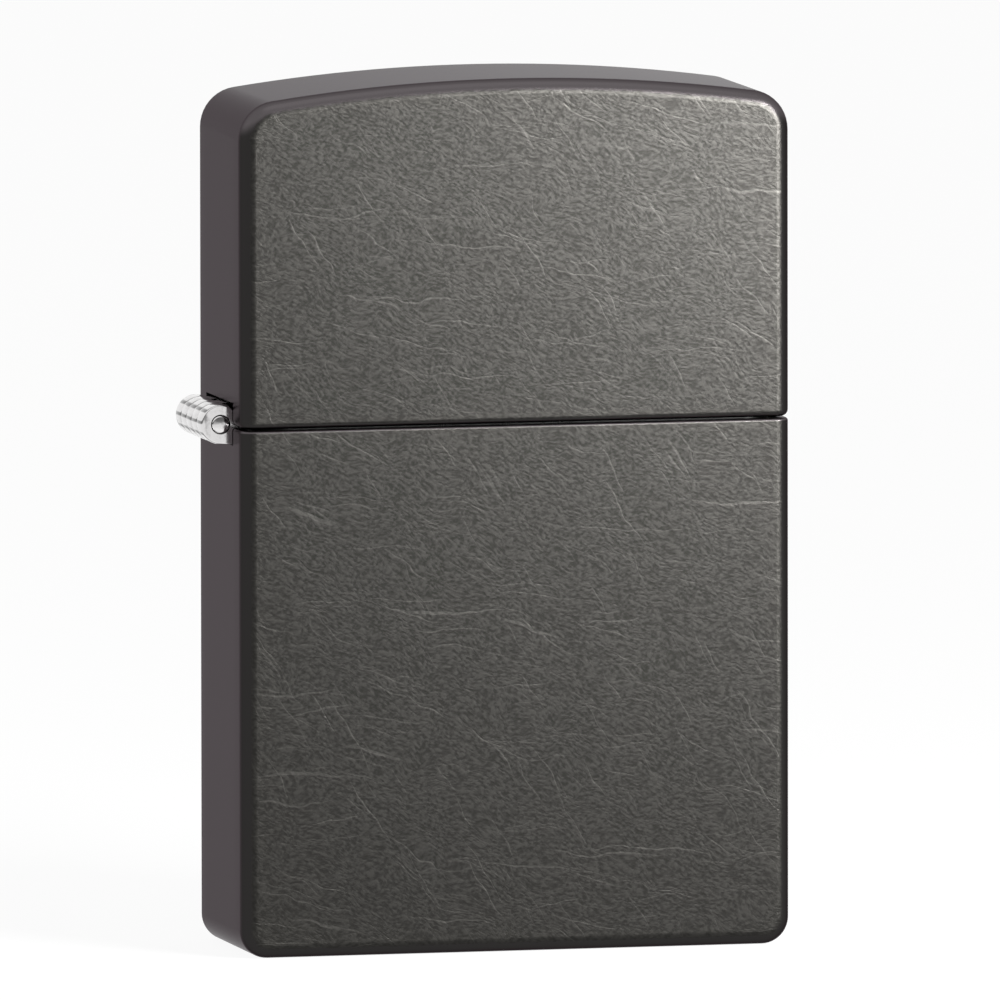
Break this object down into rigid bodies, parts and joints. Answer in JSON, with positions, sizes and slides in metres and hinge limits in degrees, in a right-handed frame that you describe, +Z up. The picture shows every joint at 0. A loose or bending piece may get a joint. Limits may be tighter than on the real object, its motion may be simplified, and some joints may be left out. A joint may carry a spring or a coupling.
{
  "type": "flip-top pocket lighter",
  "caption": "Windproof petrol pocket lighter with a hinged flip-top lid, a lift-out burner insert, spark wheel, cam and sprung flint feed.",
  "frame": {"origin": "centre of the flat underside of the body, with the hinge barrel left out", "axes": "+Z up from the base to the arched top, -X towards the hinge, -Y out of the front face"},
  "size_m": [0.0389, 0.0126, 0.0571],
  "materials": {
    "shell_finish": "dark grey plating with a fine speckled grain on the broad faces, smooth on the sides",
    "hinge_steel": "bright polished",
    "insert_steel": "plain drawn sheet steel",
    "cam_steel": "stamped steel",
    "rivet_steel": "polished rivet steel",
    "wheel_steel": "hardened steel, darkened, cut teeth",
    "brass_parts": "turned brass",
    "flint_alloy": "dull grey alloy",
    "spring_steel": "drawn wire",
    "wick_cotton": "braided cotton",
    "packing_cotton": "loose cotton",
    "felt": "pressed felt"
  },
  "bodies": {
    "body": {"body_shell": "shell_finish", "lower_hinge_leaf": "hinge_steel", "hinge_pin": "hinge_steel", "insert_tank": "insert_steel", "windscreen": "insert_steel", "cam_rivet": "rivet_steel", "cam_spring": "cam_steel", "cam_spring_rivet": "rivet_steel", "wheel_rivet": "rivet_steel", "flint_tube": "brass_parts", "flint": "flint_alloy", "wick": "wick_cotton", "cotton_pad_1": "packing_cotton", "cotton_pad_2": "packing_cotton", "cotton_pad_3": "packing_cotton", "cotton_pad_4": "packing_cotton", "felt_pad": "felt"},
    "lid": {"lid_shell": "shell_finish", "upper_hinge_leaf": "hinge_steel"},
    "cam_lever": {"cam": "cam_steel"},
    "wheel": {"spark_wheel": "wheel_steel"},
    "flint_feed": {"flint_screw": "brass_parts", "flint_spring": "spring_steel", "flint_follower": "brass_parts"}
  },
  "joints": [
    {"name": "lid_hinge", "type": "hinge", "parent": "body", "child": "lid", "pos_m": [-0.0192, 0, 0.0348], "axis": [0, -1, 0], "range_deg": [0, 145]},
    {"name": "cam_pivot", "type": "hinge", "parent": "body", "child": "cam_lever", "pos_m": [-0.012, 0, 0.0401], "axis": [0, -1, 0], "range_deg": [-45, 0], "stiffness_Nm_per_rad": 0.000006, "springref_deg": -63.03},
    {"name": "wheel_spin", "type": "hinge", "parent": "body", "child": "wheel", "pos_m": [0.0092, 0, 0.0441], "axis": [0, -1, 0], "continuous": true},
    {"name": "flint_screw_turn", "type": "hinge", "parent": "body", "child": "flint_feed", "pos_m": [0.0092, 0, 0.004], "axis": [0, 0, -1], "continuous": true}
  ],
  "couplings": [
    {"joint": "cam_pivot", "follows": "lid_hinge", "ratio": -0.3}
  ]
}
